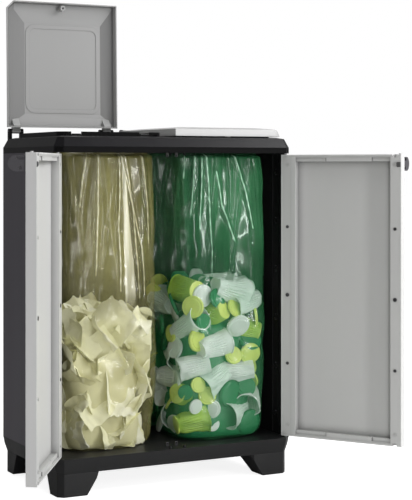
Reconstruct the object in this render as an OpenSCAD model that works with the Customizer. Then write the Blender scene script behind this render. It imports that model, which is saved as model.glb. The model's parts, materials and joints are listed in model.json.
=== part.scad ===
// Two-bay waste sorting cabinet: a dark cabinet on four feet, two tall doors on
// corner pivots, two tilting lids, and a hanging film bag in each bay.
// Origin: floor, centre of the cabinet. +X right, +Y back, +Z up. Millimetres.

/* [Cabinet] */
// Width of the cabinet over its side panels
cab_w = 680; // [660:1:720]
// Depth of the cabinet, front to back
cab_d = 390; // [390:1:400]
// Chamfer on the four upright corners, in plan
corner_c = 20; // [18:1:22]
// Height of the feet
foot_h = 57; // [50:1:60]
// Top of the base tray
base_top = 95.5; // [90.5:0.5:98]
// Underside of the top frame
frame_z0 = 851.5; // [830:0.5:870]
// Thickness of the side panels
side_t = 6; // [5:0.5:8]

/* [Doors] */
// Thickness of a door over its shell
door_t = 25; // [22:0.5:26]
// Gap above and below a door
door_gap = 3.5; // [2:0.5:5]
// How far the left door stands open, in degrees
left_door_open = 122.5; // [0:0.5:125]
// How far the right door stands open, in degrees
right_door_open = 123.5; // [0:0.5:125]
// Depth of the recessed panel on the inside of a door
recess_d = 19; // [12:0.5:19]
// Width of the rail on the hinge side of the recess
hinge_rail_w = 41; // [36:1:48]
// Width of the rail on the free side of the recess
free_rail_w = 29; // [24:1:34]
// Height of the rails above and below the recess
cross_rail_h = 17.5; // [14:0.5:22]
// How far the pull stands out of a door
pull_out = 41; // [38:1:46]
// Height of the pull
pull_h = 36; // [34:1:40]

/* [Lids] */
// How far the left lid stands open, in degrees
left_lid_open = 91; // [0:1:91]
// How far the right lid stands open, in degrees
right_lid_open = 0; // [0:1:91]
// Height of the lid's top over the floor when closed
lid_top = 920; // [916:0.5:924]
// Wall thickness of the lids
lid_t = 3; // [2:0.25:3.25]

/* [Bags] */
// Height of the contents of the left bag over the base tray
left_fill = 345; // [200:5:600]
// Height of the contents of the right bag over the base tray
right_fill = 430; // [200:5:600]

/* [Hidden] */
$fn = 48;

hx = cab_w/2;
hy = cab_d/2;
big = 1200;

// pivot axis of a door, right-hand side
piv_x = hx - 11;
piv_y = -hy + 19;
pin_r = 3.5;
run_r = 3.55;

// door, closed, right-hand side
dx0 = 1.5;
dx1 = hx - 2;
dy0 = -hy + 2;
dy1 = dy0 + door_t;
dz0 = base_top + door_gap;
dz1 = frame_z0 - door_gap;
dcorner = hx + hy - 22;
wall = 3;

// top frame levels
fz1 = frame_z0 + 15;
fz2 = fz1 + 23.5;
deck = fz2 + 3;
curb = deck + 11.5;

// opening in one bay, right-hand side
ox0 = 20;
ox1 = hx - 37;
oy0 = -hy + 64;
oy1 = hy - 37;
ocx = (ox0 + ox1)/2;
ocy = (oy0 + oy1)/2;
ow = ox1 - ox0;
od = oy1 - oy0;

// lid, closed, right-hand side
lx0 = 4;
lx1 = hx - 11;
ly0 = -hy + 30;
ly1 = hy - 18;
rim = deck + 3;
lip = rim + 4.5;
hinge_y = hy - 8;
hinge_z = rim + 16;
knuckles = [32, hx - 40];
in_out = 58;
in_mid = 42;
in_front = 58;
in_rear = 38;
sk_out = 9;
sk_mid = 1;
sk_front = 3;
sk_rear = 4;

fix_z = [0.0415, 0.259, 0.502, 0.744, 0.965];

body_c = [0.19, 0.18, 0.195];
base_c = [0.16, 0.16, 0.165];
door_c = [0.82, 0.82, 0.81];
liner_c = [0.70, 0.70, 0.69];
lid_c = [0.76, 0.76, 0.76];
steel_c = [0.62, 0.62, 0.64];

// ---- construction helpers -------------------------------------------------

// outline given as [y, z], run along X
module along_x(pts, x0, x1) translate([x0, 0, 0]) rotate([90, 0, 90]) linear_extrude(x1 - x0) polygon(pts);

// outline given as [x, z], run along Y
module along_y(pts, y0, y1) translate([0, y1, 0]) rotate([90, 0, 0]) linear_extrude(y1 - y0) polygon(pts);

// symmetric outline of half width h whose sides step in by prof = [[inset, z], ...]
function both(h, prof) = concat([for (p = prof) [h - p[0], p[1]]],
                                [for (i = [len(prof)-1 : -1 : 0]) [-(h - prof[i][0]), prof[i][1]]]);

// block with chamfered upright corners and stepped insets on all eight sides
module octo(a, b, c, prof) {
    d = (a + b - c)/sqrt(2);
    intersection() {
        along_y(both(a, prof), -big, big);
        along_x(both(b, prof), -big, big);
        rotate([0, 0, 45]) along_y(both(d, prof), -big, big);
        rotate([0, 0, -45]) along_y(both(d, prof), -big, big);
    }
}

// rectangle with round corners, centred
module rrect(w, d, r) {
    square([w - 2*r, d], center = true);
    square([w, d - 2*r], center = true);
    for (sx = [-1, 1], sy = [-1, 1]) translate([sx*(w/2 - r), sy*(d/2 - r)]) circle(r);
}

module slab(w, d, r, z0, z1) translate([0, 0, z0]) linear_extrude(z1 - z0) rrect(w, d, r);
module box(x0, x1, y0, y1, z0, z1) translate([x0, y0, z0]) cube([x1 - x0, y1 - y0, z1 - z0]);
module rod_x(x0, x1, y, z, r) translate([x0, y, z]) rotate([0, 90, 0]) cylinder(h = x1 - x0, r = r);
module rod_y(x, y0, y1, z, r) translate([x, y0, z]) rotate([-90, 0, 0]) cylinder(h = y1 - y0, r = r);
module rod_z(x, y, z0, z1, r) translate([x, y, z0]) cylinder(h = z1 - z0, r = r);

// turn a door or lid, made closed on the right, to where it stands
module door_at(side) {
    if (side > 0) translate([piv_x, piv_y, 0]) rotate([0, 0, right_door_open]) translate([-piv_x, -piv_y, 0]) children();
    else translate([-piv_x, piv_y, 0]) rotate([0, 0, -left_door_open]) translate([piv_x, -piv_y, 0]) mirror([1, 0, 0]) children();
}
module lid_at(side) {
    a = side > 0 ? right_lid_open : left_lid_open;
    translate([0, hinge_y, hinge_z]) rotate([-a, 0, 0]) translate([0, -hinge_y, -hinge_z])
        mirror([side > 0 ? 0 : 1, 0, 0]) children();
}

// ---- cabinet ---------------------------------------------------------------

base_prof = [[10, foot_h], [3.5, foot_h + 20], [0, base_top]];

module base_tray() color(base_c) {
    difference() {
        octo(hx, hy, corner_c, base_prof);
        // underside pockets between the foot pads and the ribs
        for (s = [-1, 1]) {
            box(min(s*6, s*(hx - 126)), max(s*6, s*(hx - 126)), -hy + 18, -4, foot_h - 5, base_top - 6);
            box(min(s*6, s*(hx - 126)), max(s*6, s*(hx - 126)), 4, hy - 18, foot_h - 5, base_top - 6);
            box(min(s*(hx - 121), s*(hx - 18)), max(s*(hx - 121), s*(hx - 18)), -hy + 96, hy - 96, foot_h - 5, base_top - 6);
        }
        for (sx = [-1, 1]) {
            // pivot bores for the doors
            rod_z(sx*piv_x, piv_y, base_top - 14, base_top + 1, pin_r);
            // sockets for the feet
            for (sy = [-1, 1]) rod_z(sx*(hx - 60), sy*(hy - 54), foot_h - 1, foot_h + 14, 10.1);
        }
    }
    // lugs that the closed doors stop on
    for (s = [-1, 1]) rod_z(s*20, dy0 + 11, base_top, base_top + 6, 4);
}

// foot at the front left corner, outer faces flush with the base
module foot() color(base_c) {
    intersection() {
        along_y([[-hx + 10, 0], [-hx + 10, foot_h], [-hx + 123.5, foot_h], [-hx + 87, 0]], -hy + 10, 0);
        along_x([[-hy + 10, 0], [-hy + 10, foot_h], [-hy + 93.5, foot_h], [-hy + 67.5, 0]], -hx, 0);
        rotate([0, 0, 45]) along_x([[-big, -1], [-big, foot_h + 1], [big, foot_h + 1], [big, -1]], -(hx + hy - corner_c)/sqrt(2) + 10, big);
        // small chamfer on the inner front edge
        along_z([[-hx, -hy], [-hx + 108, -hy + 5], [-hx + 130, -hy + 27], [-hx + 130, 0], [-hx, 0]], -1, foot_h + 1);
    }
    rod_z(-hx + 60, -hy + 54, foot_h, foot_h + 12, 10);
}
module along_z(pts, z0, z1) translate([0, 0, z0]) linear_extrude(z1 - z0) polygon(pts);

module foot_front_left() foot();
module foot_front_right() mirror([1, 0, 0]) foot();
module foot_rear_left() mirror([0, 1, 0]) foot();
module foot_rear_right() mirror([1, 0, 0]) mirror([0, 1, 0]) foot();

// right-hand side panel: an upright plate with a chamfered rear corner and a rear flange
module side_panel() color(body_c) {
    k = side_t*tan(22.5);
    difference() {
        union() {
            along_z([[hx, piv_y + 13], [hx, hy - corner_c], [hx - corner_c, hy], [hx - 40, hy], [hx - 40, hy - side_t],
                     [hx - corner_c - k, hy - side_t], [hx - side_t, hy - corner_c - k], [hx - side_t, piv_y + 13]],
                    base_top, frame_z0);
            // stiffening ribs and the bosses for shelf pegs
            for (y = [-hy + 60, -hy + 92, hy - 92, hy - 60]) box(hx - side_t - 3, hx - side_t, y - 1.5, y + 1.5, base_top, frame_z0);
            for (y = [-hy + 76, hy - 76], i = [0:5]) rod_x(hx - side_t - 4, hx - side_t, y, 149 + i*130.6, 8);
        }
        for (y = [-hy + 76, hy - 76], i = [0:5]) rod_x(hx - side_t - 5, hx - 2, y, 149 + i*130.6, 3.5);
        for (i = [0:3]) rod_y(hx - 32, hy - side_t - 1, hy + 1, 170 + i*200, 2.2);
    }
}
module side_panel_right() side_panel();
module side_panel_left() mirror([1, 0, 0]) side_panel();

// right-hand half of the back, inside the side panel's flange
module rear_panel() color(body_c) {
    difference() {
        union() {
            box(0.3, hx - 25, hy - side_t - 6, hy - side_t, base_top, frame_z0);
            for (i = [1:5]) box(i*50 - 4, i*50 + 4, hy - side_t, hy - side_t + 3, base_top + 30, frame_z0 - 30);
        }
        for (i = [0:3]) {
            rod_y(hx - 32, hy - side_t - 7, hy, 170 + i*200, 1.75);
            rod_y(9, hy - side_t - 7, hy, 170 + i*200, 1.75);
        }
    }
}
module rear_panel_right() rear_panel();
module rear_panel_left() mirror([1, 0, 0]) rear_panel();

module rear_joint_strip() color(body_c) {
    difference() {
        box(-16, 16, hy - side_t, hy - side_t + 3, base_top, frame_z0);
        for (s = [-1, 1], i = [0:3]) rod_y(s*9, hy - side_t - 1, hy + 1, 170 + i*200, 2.2);
    }
}

module rear_screw(x, y, l) {
    rod_y(x, y - l, y, 0, 1.75);
    difference() {
        rod_y(x, y, y + 1.6, 0, 4);
        for (a = [0, 90]) translate([x, y + 1.6, 0]) rotate([0, a, 0]) cube([5, 1.6, 1], center = true);
    }
}
module rear_panel_screws() color(steel_c)
    for (s = [-1, 1], i = [0:3]) translate([0, 0, 170 + i*200]) {
        rear_screw(s*(hx - 32), hy, 11);
        rear_screw(s*9, hy - side_t + 3, 8.5);
    }

frame_prof = [[0, frame_z0], [0, fz1], [12, fz2], [30, deck]];
frame_in = [[6, frame_z0 - 5], [6, fz1 - 1], [17, deck - 7]];

module bay_slab(grow, r, z0, z1) for (s = [-1, 1]) translate([s*ocx, ocy, 0]) slab(ow + 2*grow, od + 2*grow, r + grow, z0, z1);

module ear(x) {
    difference() {
        union() {
            box(x - 4, x + 4, hinge_y - 7, hinge_y + 7, deck - 4, hinge_z);
            rod_x(x - 4, x + 4, hinge_y, hinge_z, 7);
        }
        rod_x(x - 5, x + 5, hinge_y, hinge_z, 2.55);
    }
}

module top_frame() color(body_c) {
    difference() {
        union() {
            difference() {
                octo(hx, hy, corner_c, frame_prof);
                difference() {
                    octo(hx, hy, corner_c, frame_in);
                    bay_slab(3, 22, frame_z0 - 6, deck);
                    // corner blocks that hold the upper pivot pins, and the lug blocks
                    for (s = [-1, 1]) {
                        rod_z(s*piv_x, piv_y, frame_z0 - 6, fz1 + 12, 10);
                        box(s*20 - 5, s*20 + 5, -hy, -hy + 20, frame_z0, fz2);
                    }
                    for (x = [-hx/2, hx/2]) box(x - 1.5, x + 1.5, -hy, hy, fz1, deck);
                }
            }
            bay_slab(3, 22, deck - 2, curb);
            for (s = [-1, 1]) {
                rod_z(s*20, dy0 + 11, frame_z0 - 6, frame_z0 + 5, 4);
                // catches and studs on the front of each collar
                for (k = [-1, 1]) {
                    rod_z(s*166 + k*128, oy0 - 9, deck - 1, deck + 5, 4);
                }
            }
        }
        // openings, stepped to leave a ledge for the bag rings
        bay_slab(0, 22, frame_z0 + 30.5, curb + 1);
        bay_slab(-6, 22, frame_z0 - 1, frame_z0 + 31);
        for (s = [-1, 1]) {
            rod_z(s*piv_x, piv_y, frame_z0 - 1, fz1, pin_r);
            // slots through the front of each collar for the bag clips
            for (k = [-1, 1]) box(s*166 + k*95 - 14, s*166 + k*95 + 14, oy0 - 4, oy0 + 1, curb - 7, curb + 1);
            // shallow pocket at the foot of each front corner
            translate([s*(hx - corner_c/2), -hy + corner_c/2, 0]) rotate([0, 0, s*45]) box(-11, 11, -6, 2.4, frame_z0 + 2, fz1 - 1);
        }
    }
    for (s = [-1, 1], k = knuckles, e = [-1, 1]) ear(s*k + e*16.5);
}

module door_pivot_pins() color(steel_c)
    for (s = [-1, 1]) {
        rod_z(s*piv_x, piv_y, base_top - 14, dz0 + 10, pin_r);
        rod_z(s*piv_x, piv_y, dz1 - 10, fz1, pin_r);
    }

// ring that the mouth of a bag is folded over
ring_z = frame_z0 + 30.5;
module bag_ring(s) color([0.10, 0.10, 0.11]) translate([s*ocx, ocy, 0]) difference() {
    slab(ow - 2, od - 2, 21, ring_z, ring_z + 10);
    slab(ow - 18, od - 18, 13, ring_z - 1, ring_z + 11);
}
module bag_ring_left() bag_ring(-1);
module bag_ring_right() bag_ring(1);

// spring clips that hold the film on each ring
module bag_clips() color([0.12, 0.12, 0.13])
    for (s = [-1, 1], k = [-1, 1]) translate([s*166 + k*95, 0, 0])
        along_x([[oy0 + 1, ring_z + 10], [oy0 + 9, ring_z + 10], [oy0 + 9, ring_z + 12], [oy0 + 3, ring_z + 12],
                 [oy0 + 3, curb - 5], [oy0 - 5.5, curb - 5], [oy0 - 5.5, curb - 7], [oy0 + 1, curb - 7]], -11, 11);

// upright block with chamfered corners, centred
module oct_slab(w, d, c, z0, z1) translate([0, 0, z0]) linear_extrude(z1 - z0)
    polygon([[w/2 - c, -d/2], [w/2, -d/2 + c], [w/2, d/2 - c], [w/2 - c, d/2], [-w/2 + c, d/2], [-w/2, d/2 - c], [-w/2, -d/2 + c], [-w/2 + c, -d/2]]);

// film bag: an open-topped sack that hangs from its ring to the base, fuller below the frame than at its mouth
body_w = 278;
body_d = 308;
body_x = 164;
body_y = -6;
neck_z = frame_z0 - 6;
film = 2;
module bag(s) color(s < 0 ? [0.55, 0.52, 0.25, 0.6] : [0.20, 0.47, 0.28, 0.6]) difference() {
    union() {
        translate([s*body_x, body_y, 0]) oct_slab(body_w, body_d, 35, base_top, neck_z);
        translate([s*ocx, ocy, 0]) oct_slab(ow - 20, od - 20, 22, neck_z - 1, ring_z + 8);
    }
    translate([s*body_x, body_y, 0]) oct_slab(body_w - 2*film, body_d - 2*film, 35 - 0.586*film, base_top + film, neck_z - film);
    translate([s*ocx, ocy, 0]) oct_slab(ow - 20 - 2*film, od - 20 - 2*film, 22 - 0.586*film, neck_z - 3, ring_z + 9);
}
module bag_left() bag(-1);
module bag_right() bag(1);

// heaped contents of a bag
module heap(s, h) translate([s*body_x, body_y, 0]) {
    oct_slab(body_w - 7, body_d - 7, 33, base_top + film, base_top + h*0.86);
    oct_slab(body_w - 55, body_d - 55, 33, base_top + h*0.86 - 1, base_top + h);
}
module paper_waste() color([0.88, 0.86, 0.70]) heap(-1, left_fill);
module cup_waste() color([0.76, 0.88, 0.74]) heap(1, right_fill);

// ---- doors, made closed on the right ----------------------------------------

rx0 = dx0 + free_rail_w;
rx1 = dx1 - hinge_rail_w;
rz0 = dz0 + cross_rail_h;
rz1 = dz1 - cross_rail_h;

function door_plan(g) = [[dx0 + g, dy1], [dx0 + g, dy0 + g], [dcorner + dy0 + g*0.414 - g, dy0 + g],
                         [dx1 - g, -(dcorner - dx1) - g*0.414 + g], [dx1 - g, dy1]];
module lug_notch(z0, z1) box(14, 26, dy0 + 5, dy1 + 1, z0, z1);
function fixing_x() = [18, dx1 - 18.4];

module door_shell() {
    difference() {
        along_z(door_plan(0), dz0, dz1);
        difference() {
            along_z([for (p = door_plan(wall)) [p[0], p[1] > dy1 - 0.01 ? dy1 + 1 : p[1]]], dz0 + wall, dz1 - wall);
            // solid blocks round the pivots and the lug notches
            for (z = [dz0, dz1 - 20]) {
                box(dx1 - 22, dx1, dy0, dy1 - wall - 0.3, z, z + 20);
                box(dx0, 27.8, dy0, dy1 - wall - 0.3, z, z + 20);
            }
            for (x = fixing_x(), f = fix_z) rod_y(x, dy0, dy1 - wall - 0.3, dz0 + (dz1 - dz0)*f, 4.5);
            rod_y(10.5, dy0, dy0 + 12, pull_z - 10, 4);
        }
        for (z = [dz0 - 1, dz1 - 11]) rod_z(piv_x, piv_y, z, z + 12, run_r);
        lug_notch(dz0 - 1, dz0 + 7.5);
        lug_notch(dz1 - 7.5, dz1 + 1);
        for (x = fixing_x(), f = fix_z) rod_y(x, dy1 - 14, dy1 + 1, dz0 + (dz1 - dz0)*f, 1.6);
        // holes for the studs of the pull
        for (z = [pull_z - 10, pull_z + 10]) rod_y(10.5, dy0 - 1, dy0 + 10, z, 1.6);
    }
    // nub on the top edge that clicks under the frame
    rod_z(8, dy0 + 12.5, dz1, dz1 + door_gap - 0.7, 4);
}

// raised blocks along the cross rails
module rail_blocks(z0, z1) {
    cuts = [rx0, rx1 - 216, rx1 - 87, rx1];
    for (i = [0:2]) box(cuts[i] + (i > 0 ? 1.5 : 0), cuts[i+1] - (i < 2 ? 1.5 : 0), dy1 - recess_d - 1, dy1 - (i == 1 ? 1.5 : 4), z0, z1);
}

module door_liner() {
    g = wall + 0.3;
    difference() {
        union() {
            // face plate with the recess cut out of it
            difference() {
                along_z(door_plan(g), dz0 + g, dz1 - g);
                along_z([[dx0, dy0 - 1], [dx0, dy1 - wall], [dx1, dy1 - wall], [dx1, dy0 - 1]], dz0, dz1);
                box(rx0, rx1, dy0, dy1 + 1, rz0 - 12, rz1 + 12);
            }
            // ridge along the hinge rail
            box(rx1, rx1 + 12, dy1 - wall, dy1 + 0.8, rz0 - 12, rz1 + 12);
            // walls and floor of the recess
            difference() {
                box(rx0 - 2.5, rx1 + 2.5, dy1 - recess_d - 2.5, dy1 - 1, rz0 - 14.5 + 2.5, rz1 + 14.5 - 2.5);
                box(rx0, rx1, dy1 - recess_d, dy1 + 1, rz0, rz1);
                box(rx0, rx1, dy1 - 5.5, dy1 + 1, rz0 - 9.5, rz1 + 9.5);
                for (z = [rz0 - 12.5, rz1]) box(rx0, rx1, dy1 - recess_d, dy1 - 8, z + (z > rz0 ? 2.5 : 0.5), z + (z > rz0 ? 12 : 10));
            }
            intersection() {
                union() {
                    rail_blocks(rz0 - 9.6, rz0 + 0.5);
                    rail_blocks(rz1 - 0.5, rz1 + 9.6);
                }
                box(rx0 - 1, rx1 + 1, dy1 - 8, dy1, rz0 - 12, rz1 + 12);
            }
        }
        lug_notch(dz0 - 1, dz0 + 7.5);
        lug_notch(dz1 - 7.5, dz1 + 1);
        for (x = fixing_x(), f = fix_z) rod_y(x, dy1 - 8, dy1 + 1, dz0 + (dz1 - dz0)*f, 1.9);
    }
}

// screw with a shallow round head, seated on the liner
module door_fixings() for (x = fixing_x(), f = fix_z) {
    z = dz0 + (dz1 - dz0)*f;
    rod_y(x, dy1 - 12, dy1, z, 1.6);
    difference() {
        rod_y(x, dy1, dy1 + 1.5, z, f > 0.4 && f < 0.6 ? 5 : 4);
        for (a = [0, 90]) translate([x, dy1 + 1.5, z]) rotate([0, a, 0]) cube([5, 1.4, 1], center = true);
    }
}

// D-shaped pull with a finger slot above and a padlock eye below
pull_z = dz1 - 24.5;
module door_pull() {
    r = pull_h/2;
    translate([3.5, dy0, pull_z]) rotate([90, 0, 90]) mirror([1, 0, 0]) difference() {
        // outline in [distance out of the door, height], rounded at its outer end
        linear_extrude(14) {
            translate([0, -r]) square([pull_out - r, pull_h]);
            translate([pull_out - r, 0]) circle(r);
        }
        // finger slot
        translate([1.5, 8.5, -1]) linear_extrude(16) square([20, 6]);
        // padlock eye
        translate([12, -10.5, -1]) cylinder(h = 16, r = 4);
    }
    for (z = [pull_z - 10, pull_z + 10]) rod_y(10.5, dy0, dy0 + 10, z, 1.6);
}

// spring catch on the free edge
module door_catch() difference() {
    along_x([[dy1, pull_z - 8.5], [dy1, pull_z + 4.5], [dy1 + 2.5, pull_z + 3.5], [dy1 + 2.5, pull_z - 5.5]], dx0 + 1.7, dx0 + 11.3);
    box(dx0 + 4.5, dx0 + 8.5, dy1 + 1.5, dy1 + 3, pull_z - 10, pull_z + 9);
}

module left_door_shell() color(door_c) door_at(-1) door_shell();
module left_door_liner() color(liner_c) door_at(-1) door_liner();
module left_door_pull() color(body_c) door_at(-1) door_pull();
module left_door_fixings() color([0.3, 0.3, 0.31]) door_at(-1) door_fixings();
module left_door_catch() color([0.25, 0.25, 0.25]) door_at(-1) door_catch();
module right_door_shell() color(door_c) door_at(1) door_shell();
module right_door_liner() color(liner_c) door_at(1) door_liner();
module right_door_pull() color(body_c) door_at(1) door_pull();
module right_door_fixings() color([0.3, 0.3, 0.31]) door_at(1) door_fixings();
module right_door_catch() color([0.25, 0.25, 0.25]) door_at(1) door_catch();

// ---- lids, made closed on the right -------------------------------------------

// outline across one direction of the lid, t in from the outer skin: a steep skirt, then a shallow slope to the flat
function lid_line(a, b, sa, sb, ia, ib, t) = let (zs = lid_top - 5.5, z0 = t > 0 ? rim - 1 : rim)
    [[a + t, z0], [b - t, z0], [b - t, lip], [b - sb - t, zs - t], [b - ib, lid_top - t], [a + ia, lid_top - t], [a + sa + t, zs - t], [a + t, lip]];

module lid_body(t) intersection() {
    along_y(lid_line(lx0, lx1, sk_mid, sk_out, in_mid, in_out, t), ly0 + t, ly1 - t);
    along_x(lid_line(ly0, ly1, sk_front, sk_rear, in_front, in_rear, t), lx0 + t, lx1 - t);
    // cut across the outer front corner
    rotate([0, 0, -45]) along_y(lid_line(-big, (lx1 - ly0 - 20)/sqrt(2), 4, 6, 50, 44, t), -big, big);
}

module lid_shell() {
    difference() {
        union() {
            difference() { lid_body(0); lid_body(lid_t); }
            // boss for the front stop
            intersection() { rod_z(166, ly0 + 15, rim - 1.5, lid_top, 7.5); union() { lid_body(0); box(140, 190, ly0, ly0 + 30, rim - 5, rim + 2); } }
            // knuckles and their arms
            for (x = knuckles) {
                along_x([[ly1 - 27, hinge_z + 3.5], [ly1 - 22, hinge_z + 3.5], [hinge_y, hinge_z + 6.5], [hinge_y, hinge_z - 6.5],
                         [ly1, rim + 3], [ly1 - 5, rim + 2.5], [ly1 - 13, rim + 9.5]], x - 10, x + 10);
                rod_x(x - 12, x + 12, hinge_y, hinge_z, 6.5);
            }
            // raised double border on the inside of the top
            translate([(lx0 + in_mid + lx1 - in_out)/2, (ly0 + in_front + ly1 - in_rear)/2, 0]) difference() {
                slab(lx1 - in_out - lx0 - in_mid - 6, ly1 - in_rear - ly0 - in_front - 6, 26, lid_top - lid_t - 1.2, lid_top - 1);
                slab(lx1 - in_out - lx0 - in_mid - 26, ly1 - in_rear - ly0 - in_front - 26, 18, lid_top - lid_t - 2, lid_top);
            }
        }
        rod_z(166, ly0 + 15, rim - 6, lip + 2, 3);
        for (x = knuckles) rod_x(x - 13, x + 13, hinge_y, hinge_z, 2.5);
    }
}
module lid_pins() for (x = knuckles) rod_x(x - 20.5, x + 20.5, hinge_y, hinge_z, 2.5);

module left_lid_shell() color(lid_c) lid_at(-1) lid_shell();
module left_lid_pins() color(steel_c) lid_at(-1) lid_pins();
module right_lid_shell() color(lid_c) lid_at(1) lid_shell();
module right_lid_pins() color(steel_c) lid_at(1) lid_pins();

base_tray();
foot_front_left();
foot_front_right();
foot_rear_left();
foot_rear_right();
side_panel_left();
side_panel_right();
rear_panel_left();
rear_panel_right();
rear_joint_strip();
rear_panel_screws();
top_frame();
door_pivot_pins();
bag_ring_left();
bag_ring_right();
bag_clips();
bag_left();
bag_right();
paper_waste();
cup_waste();
left_door_shell();
left_door_liner();
left_door_pull();
left_door_fixings();
left_door_catch();
right_door_shell();
right_door_liner();
right_door_pull();
right_door_fixings();
right_door_catch();
left_lid_shell();
left_lid_pins();
right_lid_shell();
right_lid_pins();
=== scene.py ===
import json
import math
import random

import bmesh
import bpy
import numpy as np
from mathutils import Matrix, Vector, noise


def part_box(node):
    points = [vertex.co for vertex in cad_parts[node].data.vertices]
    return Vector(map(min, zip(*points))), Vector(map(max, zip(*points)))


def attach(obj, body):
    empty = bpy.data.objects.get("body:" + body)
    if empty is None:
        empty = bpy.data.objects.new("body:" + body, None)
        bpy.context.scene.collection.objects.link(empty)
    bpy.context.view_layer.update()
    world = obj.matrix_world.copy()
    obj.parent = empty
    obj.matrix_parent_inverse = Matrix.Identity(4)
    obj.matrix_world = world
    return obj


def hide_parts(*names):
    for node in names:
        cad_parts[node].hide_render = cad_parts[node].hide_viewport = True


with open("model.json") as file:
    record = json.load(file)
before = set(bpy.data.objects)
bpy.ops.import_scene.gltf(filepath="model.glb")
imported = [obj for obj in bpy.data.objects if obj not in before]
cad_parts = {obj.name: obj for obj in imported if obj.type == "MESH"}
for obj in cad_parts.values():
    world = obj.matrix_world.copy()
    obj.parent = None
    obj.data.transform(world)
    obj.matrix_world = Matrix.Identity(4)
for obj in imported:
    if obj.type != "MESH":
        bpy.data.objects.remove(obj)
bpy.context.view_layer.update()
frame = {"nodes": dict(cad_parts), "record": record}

WORLD_LOW, WORLD_HIGH = 0.20, 0.42

# ---------------------------------------------------------------- camera
scene = bpy.context.scene
cam_data = bpy.data.cameras.new("camera")
cam = bpy.data.objects.new("camera", cam_data)
scene.collection.objects.link(cam)
cam.location = (-1.69528, -3.42918, 0.81294)
cam.rotation_euler = (math.radians(90), 0, math.radians(-27.07))
cam_data.sensor_width = 36
cam_data.lens = 1428.56 / 500 * 36
cam_data.shift_x = 41 / 500
cam_data.shift_y = -82.09 / 500
cam_data.clip_start = 0.05
cam_data.clip_end = 60
scene.camera = cam
scene.view_settings.view_transform = "Standard"
scene.view_settings.look = "None"
scene.view_settings.exposure = 0
scene.view_settings.gamma = 1

# ---------------------------------------------------------------- node helpers


class Mat:
    """A node material: .p is its Principled shader, and the calls add nodes."""

    def __init__(self, name):
        self.m = bpy.data.materials.new(name)
        self.m.use_nodes = True
        self.nt = self.m.node_tree
        self.nt.nodes.clear()
        self.out = self.nt.nodes.new("ShaderNodeOutputMaterial")
        self.p = self.nt.nodes.new("ShaderNodeBsdfPrincipled")
        self.nt.links.new(self.p.outputs[0], self.out.inputs[0])
        self.tc = self.nt.nodes.new("ShaderNodeTexCoord")

    def link(self, a, b):
        self.nt.links.new(a, b)

    def mapping(self, scale, rot=(0, 0, 0)):
        n = self.nt.nodes.new("ShaderNodeMapping")
        n.inputs["Scale"].default_value = scale
        n.inputs["Rotation"].default_value = rot
        self.link(self.tc.outputs["Object"], n.inputs["Vector"])
        return n.outputs[0]

    def noise(self, scale, detail=3, rough=0.5, vec=None, distortion=0.0):
        n = self.nt.nodes.new("ShaderNodeTexNoise")
        n.inputs["Scale"].default_value = scale
        n.inputs["Detail"].default_value = detail
        n.inputs["Roughness"].default_value = rough
        n.inputs["Distortion"].default_value = distortion
        self.link(vec if vec is not None else self.tc.outputs["Object"], n.inputs["Vector"])
        return n.outputs["Fac"]

    def voronoi(self, scale, vec=None, feature="F1"):
        n = self.nt.nodes.new("ShaderNodeTexVoronoi")
        n.feature = feature
        n.inputs["Scale"].default_value = scale
        self.link(vec if vec is not None else self.tc.outputs["Object"], n.inputs["Vector"])
        return n.outputs["Distance"]

    def ramp(self, fac, stops, interp="LINEAR"):
        n = self.nt.nodes.new("ShaderNodeValToRGB")
        n.color_ramp.interpolation = interp
        while len(n.color_ramp.elements) < len(stops):
            n.color_ramp.elements.new(0.5)
        for e, (pos, col) in zip(n.color_ramp.elements, stops):
            e.position = pos
            e.color = (*col, 1) if len(col) == 3 else col
        self.link(fac, n.inputs[0])
        return n.outputs[0]

    def maprange(self, fac, a, b, c, d):
        n = self.nt.nodes.new("ShaderNodeMapRange")
        for i, v in enumerate((a, b, c, d)):
            n.inputs[i + 1].default_value = v
        self.link(fac, n.inputs[0])
        return n.outputs[0]

    def mix(self, fac, a, b, mode="MIX"):
        n = self.nt.nodes.new("ShaderNodeMix")
        n.data_type = "RGBA"
        n.blend_type = mode
        for sock, v in ((n.inputs[0], fac), (n.inputs[6], a), (n.inputs[7], b)):
            if isinstance(v, (int, float)):
                sock.default_value = v
            elif isinstance(v, tuple):
                sock.default_value = (*v, 1)
            else:
                self.link(v, sock)
        return n.outputs[2]

    def math(self, op, a, b=0.0):
        n = self.nt.nodes.new("ShaderNodeMath")
        n.operation = op
        for sock, v in zip(n.inputs, (a, b)):
            if isinstance(v, (int, float)):
                sock.default_value = v
            else:
                self.link(v, sock)
        return n.outputs[0]

    def attr(self, name):
        n = self.nt.nodes.new("ShaderNodeAttribute")
        n.attribute_name = name
        return n.outputs["Fac"]

    def bump(self, heights):
        last = None
        for fac, strength, dist in heights:
            n = self.nt.nodes.new("ShaderNodeBump")
            n.inputs["Strength"].default_value = strength
            n.inputs["Distance"].default_value = dist
            self.link(fac, n.inputs["Height"])
            if last is not None:
                self.link(last, n.inputs["Normal"])
            last = n.outputs[0]
        self.link(last, self.p.inputs["Normal"])

    def set(self, **kw):
        for k, v in kw.items():
            s = self.p.inputs[k.replace("_", " ")]
            if isinstance(v, (int, float)):
                s.default_value = v
            elif isinstance(v, tuple):
                s.default_value = (*v, 1) if len(v) == 3 else v
            else:
                self.link(v, s)
        return self


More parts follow.
